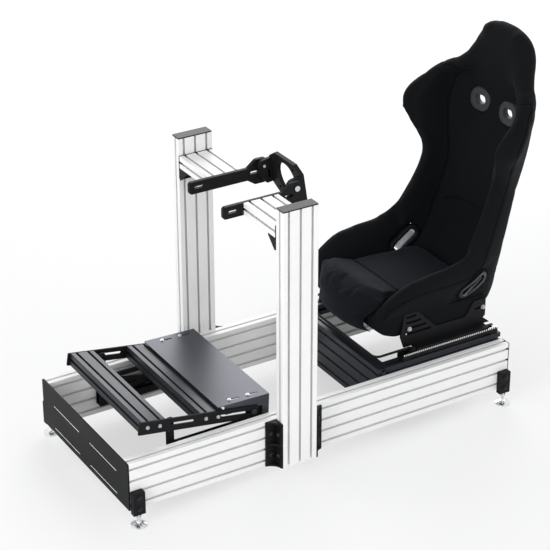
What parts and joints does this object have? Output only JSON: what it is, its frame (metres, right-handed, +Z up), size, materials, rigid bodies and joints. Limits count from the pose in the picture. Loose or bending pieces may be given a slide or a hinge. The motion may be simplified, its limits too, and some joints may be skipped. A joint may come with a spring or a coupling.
{
  "type": "sim racing cockpit",
  "caption": "Open slotted-bar cockpit frame with a tilting pedal deck, a tilting wheel mount and a bucket seat on sliders, for a racing simulator.",
  "frame": {"origin": "on the floor at the middle of the cockpit's box", "axes": "X across with plus at the driver's left, Y from the pedals to the seat, Z up"},
  "size_m": [0.663, 1.578, 1.1842],
  "materials": {
    "white_bar": "white powder-coated aluminium bar",
    "black_bar": "black anodised aluminium bar",
    "black_steel": "black powder-coated steel",
    "black_plastic": "black moulded plastic",
    "chrome": "bright plated steel",
    "seat_fabric": "black woven upholstery over foam",
    "steel": "black oxide bolts"
  },
  "bodies": {
    "frame": {"left_rail": "white_bar", "left_rail_cap": "black_plastic", "left_upright": "white_bar", "left_upright_cap": "black_plastic", "left_front_brace": "black_steel", "left_rear_brace": "black_steel", "left_arm": "white_bar", "left_arm_bracket": "black_steel", "left_front_foot_block": "black_steel", "left_rear_foot_block": "black_steel", "left_front_foot": "chrome", "left_rear_foot": "chrome", "left_cheek": "black_steel", "left_pedal_support": "black_steel", "left_seat_bar": "black_bar", "left_slider": "black_steel", "right_rail": "white_bar", "right_rail_cap": "black_plastic", "right_upright": "white_bar", "right_upright_cap": "black_plastic", "right_front_brace": "black_steel", "right_rear_brace": "black_steel", "right_arm": "white_bar", "right_arm_bracket": "black_steel", "right_front_foot_block": "black_steel", "right_rear_foot_block": "black_steel", "right_front_foot": "chrome", "right_rear_foot": "chrome", "right_cheek": "black_steel", "right_pedal_support": "black_steel", "right_seat_bar": "black_bar", "right_slider": "black_steel", "front_plate": "black_steel", "seat_front_bar": "black_bar", "seat_rear_bar": "black_bar"},
    "wheel_mount": {"ring_plate": "black_steel", "left_pivot_bolt": "steel", "right_pivot_bolt": "steel"},
    "pedal_deck": {"deck_front_bar": "black_bar", "deck_rear_bar": "black_bar", "left_deck_plate": "black_steel", "right_deck_plate": "black_steel", "left_deck_pivot": "steel", "right_deck_pivot": "steel", "heel_plate": "black_steel"},
    "seat": {"seat_shell": "seat_fabric", "seat_cushion": "seat_fabric", "left_shoulder_frame": "black_plastic", "left_lap_frame": "black_plastic", "left_seat_bracket": "black_steel", "left_runner": "black_steel", "right_shoulder_frame": "black_plastic", "right_lap_frame": "black_plastic", "right_seat_bracket": "black_steel", "right_runner": "black_steel"},
    "handle": {"slider_handle": "black_steel"}
  },
  "joints": [
    {"name": "wheel_tilt", "type": "hinge", "parent": "frame", "child": "wheel_mount", "pos_m": [0, -0.099, 0.859], "axis": [1, 0, 0], "range_deg": [-15, 15]},
    {"name": "pedal_tilt", "type": "hinge", "parent": "frame", "child": "pedal_deck", "pos_m": [0, -0.33296, 0.2255], "axis": [1, 0, 0], "range_deg": [0, 6]},
    {"name": "seat_slide", "type": "slide", "parent": "frame", "child": "seat", "axis": [0, 1, 0], "range_m": [-0.1, 0.1]},
    {"name": "handle_lift", "type": "hinge", "parent": "seat", "child": "handle", "pos_m": [0, 0.254, 0.267], "axis": [-1, 0, 0], "range_deg": [0, 6], "stiffness_Nm_per_rad": 3, "springref_deg": -5.73}
  ]
}
